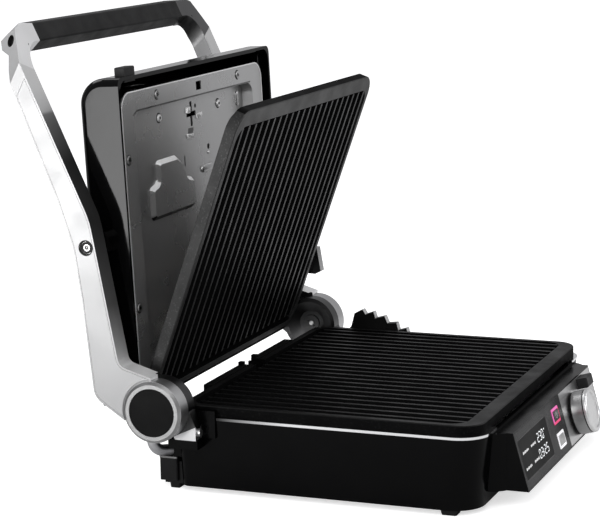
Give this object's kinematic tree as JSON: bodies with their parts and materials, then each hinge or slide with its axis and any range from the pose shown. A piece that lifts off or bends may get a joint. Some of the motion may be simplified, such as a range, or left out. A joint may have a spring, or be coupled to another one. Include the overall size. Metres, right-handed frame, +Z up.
{
  "type": "open contact grill",
  "caption": "Open electric contact grill: ribbed lower plate in a black base, tilted upper plate under a lid hung between two cast arms, front controls with a knob.",
  "frame": {"origin": "on the table, under the middle of the lower cooking plate", "axes": "+X to the right as seen from the front, +Y to the back where the hinge is, +Z up"},
  "size_m": [0.353, 0.4148, 0.3533],
  "materials": {
    "gloss_black": "glossy black moulded shell",
    "matte_black": "fine-grained black moulding",
    "cap_black": "satin black cap",
    "nonstick_plate": "matt non-stick coating on cast aluminium, speckled sides",
    "cast_silver": "die-cast, satin to polished",
    "cover_silver": "satin cover plate",
    "chrome_trim": "bright chrome",
    "bare_steel": "bare aluminised sheet",
    "brushed_fascia": "brushed across",
    "spun_metal": "turned, with a bright rim",
    "fastener_steel": "plain steel",
    "grip_grey": "soft-touch dark grey",
    "black_glass": "dark tinted display glass",
    "display_dark": "display housing",
    "board_green": "circuit board",
    "sheath_steel": "heat-tinted element sheath",
    "ceramic_white": "unglazed ceramic",
    "foot_rubber": "soft black",
    "latch_grey": "dark grey moulding",
    "rack_black": "satin black moulding",
    "button_lens": "light-guide frame",
    "button_dark": "dark button cap",
    "encoder_metal": "plated encoder body and shaft",
    "conduit_metal": "bent tube",
    "gland_black": "moulded cord gland"
  },
  "bodies": {
    "base": {"base_housing": "gloss_black", "bottom_cover": "matte_black", "bracket_screws": "fastener_steel", "button_frames": "button_lens", "cable_conduit": "conduit_metal", "control_board": "board_green", "control_glass": "black_glass", "control_housing": "gloss_black", "cord_gland": "gland_black", "display_module": "display_dark", "encoder": "encoder_metal", "front_feet": "foot_rubber", "hinge_pins": "fastener_steel", "left_hinge_bracket": "cast_silver", "lower_heating_element": "sheath_steel", "lower_plate": "nonstick_plate", "lower_reflector": "bare_steel", "lower_terminal_block": "ceramic_white", "power_board": "board_green", "rear_cover": "gloss_black", "rear_feet": "foot_rubber", "right_hinge_bracket": "cast_silver", "steel_fascia": "brushed_fascia", "trim_ring": "chrome_trim"},
    "arm_frame": {"left_arm": "cast_silver", "right_arm": "cast_silver", "left_arm_cover": "cover_silver", "right_arm_cover": "cover_silver", "hub_bezels": "chrome_trim", "hub_caps": "cap_black", "grip": "grip_grey", "grip_screws": "fastener_steel"},
    "lid": {"lid_shell": "gloss_black", "upper_reflector": "bare_steel", "reflector_screws": "fastener_steel", "pivot_bolts": "fastener_steel", "tilt_pins": "fastener_steel"},
    "upper_cooking_plate": {"upper_plate": "nonstick_plate", "upper_heating_element": "sheath_steel", "upper_terminal_block": "ceramic_white"},
    "tray": {"drip_tray": "matte_black", "tray_trim": "chrome_trim"},
    "knob": {"knob_body": "matte_black", "knob_skirt": "spun_metal", "knob_face": "spun_metal"},
    "power_key": {"power_button": "button_dark"},
    "mode_key": {"mode_button": "button_dark"},
    "lower_release": {"lower_latch": "latch_grey"},
    "upper_release": {"upper_latch": "latch_grey"},
    "rack": {"height_rack": "rack_black"}
  },
  "joints": [
    {"name": "lid_open", "type": "hinge", "parent": "base", "child": "arm_frame", "pos_m": [0, 0.1266, 0.0683], "axis": [1, 0, 0], "range_deg": [0, 98.5]},
    {"name": "lid_float", "type": "hinge", "parent": "arm_frame", "child": "lid", "pos_m": [0, 0.1771, 0.1904], "axis": [1, 0, 0], "range_deg": [-6.2, 0.1]},
    {"name": "upper_plate_tilt", "type": "hinge", "parent": "lid", "child": "upper_cooking_plate", "pos_m": [0, 0.148, 0.072], "axis": [1, 0, 0], "range_deg": [-22.5, 0.1]},
    {"name": "knob_turn", "type": "hinge", "parent": "base", "child": "knob", "pos_m": [0.047, -0.14047, 0.03333], "axis": [0, -0.9627, 0.2706], "continuous": true},
    {"name": "power_press", "type": "slide", "parent": "base", "child": "power_key", "axis": [0, 0.9627, -0.2706], "range_m": [0, 0.0012], "stiffness_N_per_m": 300},
    {"name": "mode_press", "type": "slide", "parent": "base", "child": "mode_key", "axis": [0, 0.9627, -0.2706], "range_m": [0, 0.0012], "stiffness_N_per_m": 300},
    {"name": "lower_release_press", "type": "slide", "parent": "base", "child": "lower_release", "axis": [0, 0.9627, -0.2706], "range_m": [0, 0.004], "stiffness_N_per_m": 300},
    {"name": "upper_release_press", "type": "slide", "parent": "lid", "child": "upper_release", "axis": [0, -0.0419, -0.9991], "range_m": [0, 0.003], "stiffness_N_per_m": 300},
    {"name": "rack_slide", "type": "slide", "parent": "base", "child": "rack", "axis": [0, 1, 0], "range_m": [-0.045, 0]},
    {"name": "tray_slide", "type": "slide", "parent": "base", "child": "tray", "axis": [0, 1, 0], "range_m": [0, 0.06]}
  ],
  "couplings": [
    {"joint": "lid_float", "follows": "lid_open", "ratio": -0.061929},
    {"joint": "upper_plate_tilt", "follows": "lid_open", "ratio": -0.22741}
  ]
}
